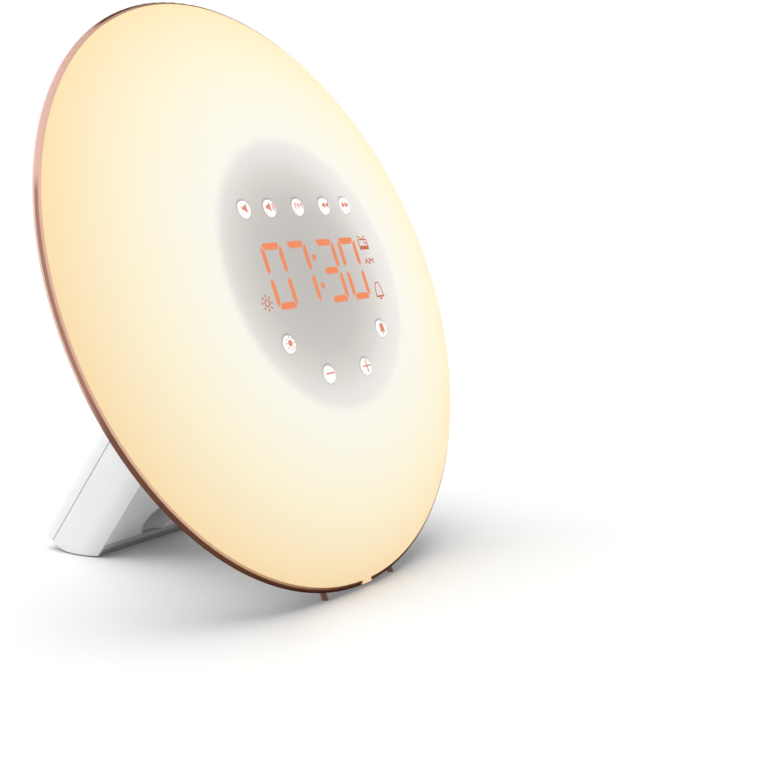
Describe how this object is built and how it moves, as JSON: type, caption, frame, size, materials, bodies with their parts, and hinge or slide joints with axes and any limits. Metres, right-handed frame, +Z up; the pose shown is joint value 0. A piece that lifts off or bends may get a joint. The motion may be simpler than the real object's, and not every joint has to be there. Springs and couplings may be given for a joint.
{
  "type": "sunrise alarm clock",
  "caption": "Free-standing round bedside light with a domed opal front, thin metallic rim and a slanted leg; an alarm display and push keys sit in the middle of the dome.",
  "frame": {"origin": "centre of the bounding box, on the table", "axes": "+Z up, the lit front faces -Y, +X to the viewer's right"},
  "size_m": [0.188, 0.1122, 0.175],
  "materials": {
    "opal": "satin opal plastic, lit from inside",
    "copper_trim": "satin rose-copper metallised plastic",
    "white_shell": "fine satin white",
    "key_white": "smooth white",
    "grey_plastic": "fine matt",
    "rubber_pad": "matt non-slip",
    "foot_brown": "satin brown",
    "grommet_rubber": "matt",
    "frame_plastic": "moulded",
    "reflector_white": "matt reflective white",
    "black_plastic": "matt moulded",
    "board_white": "white solder mask on aluminium",
    "board_green": "glass-fibre board with solder mask",
    "led_lens": "phosphor lens",
    "lit_orange": "lit light guide",
    "steel_screw": "zinc plated",
    "speaker_steel": "pressed steel",
    "speaker_paper": "coated paper",
    "capacitor_sleeve": "printed sleeve, left bare",
    "inductor_black": "ferrite",
    "connector_cream": "moulded",
    "lead_red": "insulated",
    "ribbon_grey": "flat flexible cable",
    "lead_black": "insulated"
  },
  "bodies": {
    "lamp": {"diffuser": "opal", "rim_ring": "copper_trim", "rear_shell": "white_shell", "leg_front_shell": "white_shell", "leg_rear_shell": "white_shell", "base_plate": "grey_plastic", "foot_pad": "rubber_pad", "rim_feet": "foot_brown", "antenna_grommet": "grommet_rubber", "chassis": "frame_plastic", "leg_bracket": "frame_plastic", "reflector": "reflector_white", "display_module": "reflector_white", "display_baffle": "black_plastic", "button_guide": "black_plastic", "tact_switches": "black_plastic", "tap_sensor": "black_plastic", "display_driver": "black_plastic", "main_processor": "black_plastic", "dc_jack": "black_plastic", "led_board": "board_white", "display_board": "board_green", "main_board": "board_green", "leds": "led_lens", "digit_segments": "lit_orange", "icon_light_guides": "lit_orange", "rear_shell_screws": "steel_screw", "led_board_screws": "steel_screw", "display_screws": "steel_screw", "speaker_screws": "steel_screw", "bracket_screws": "steel_screw", "leg_screws": "steel_screw", "base_screws": "steel_screw", "board_screws": "steel_screw", "speaker_frame": "speaker_steel", "speaker_magnet": "speaker_steel", "speaker_cone": "speaker_paper", "capacitors": "capacitor_sleeve", "power_inductor": "inductor_black", "board_connectors": "connector_cream", "power_leads": "lead_red", "display_ribbon": "ribbon_grey", "speaker_leads": "lead_black", "led_leads": "lead_black"},
    "volume_down_key": {"volume_down_button": "key_white"},
    "volume_up_key": {"volume_up_button": "key_white"},
    "radio_key": {"radio_button": "key_white"},
    "rewind_key": {"rewind_button": "key_white"},
    "forward_key": {"forward_button": "key_white"},
    "light_key": {"light_button": "key_white"},
    "alarm_key": {"alarm_button": "key_white"},
    "minus_key": {"minus_button": "key_white"},
    "plus_key": {"plus_button": "key_white"}
  },
  "joints": [
    {"name": "volume_down_press", "type": "slide", "parent": "lamp", "child": "volume_down_key", "axis": [0, 0.9272, -0.3746], "range_m": [0, 0.0006], "stiffness_N_per_m": 1500},
    {"name": "volume_up_press", "type": "slide", "parent": "lamp", "child": "volume_up_key", "axis": [0, 0.9272, -0.3746], "range_m": [0, 0.0006], "stiffness_N_per_m": 1500},
    {"name": "radio_press", "type": "slide", "parent": "lamp", "child": "radio_key", "axis": [0, 0.9272, -0.3746], "range_m": [0, 0.0006], "stiffness_N_per_m": 1500},
    {"name": "rewind_press", "type": "slide", "parent": "lamp", "child": "rewind_key", "axis": [0, 0.9272, -0.3746], "range_m": [0, 0.0006], "stiffness_N_per_m": 1500},
    {"name": "forward_press", "type": "slide", "parent": "lamp", "child": "forward_key", "axis": [0, 0.9272, -0.3746], "range_m": [0, 0.0006], "stiffness_N_per_m": 1500},
    {"name": "light_press", "type": "slide", "parent": "lamp", "child": "light_key", "axis": [0, 0.9272, -0.3746], "range_m": [0, 0.0006], "stiffness_N_per_m": 1500},
    {"name": "alarm_press", "type": "slide", "parent": "lamp", "child": "alarm_key", "axis": [0, 0.9272, -0.3746], "range_m": [0, 0.0006], "stiffness_N_per_m": 1500},
    {"name": "minus_press", "type": "slide", "parent": "lamp", "child": "minus_key", "axis": [0, 0.9272, -0.3746], "range_m": [0, 0.0006], "stiffness_N_per_m": 1500},
    {"name": "plus_press", "type": "slide", "parent": "lamp", "child": "plus_key", "axis": [0, 0.9272, -0.3746], "range_m": [0, 0.0006], "stiffness_N_per_m": 1500}
  ]
}
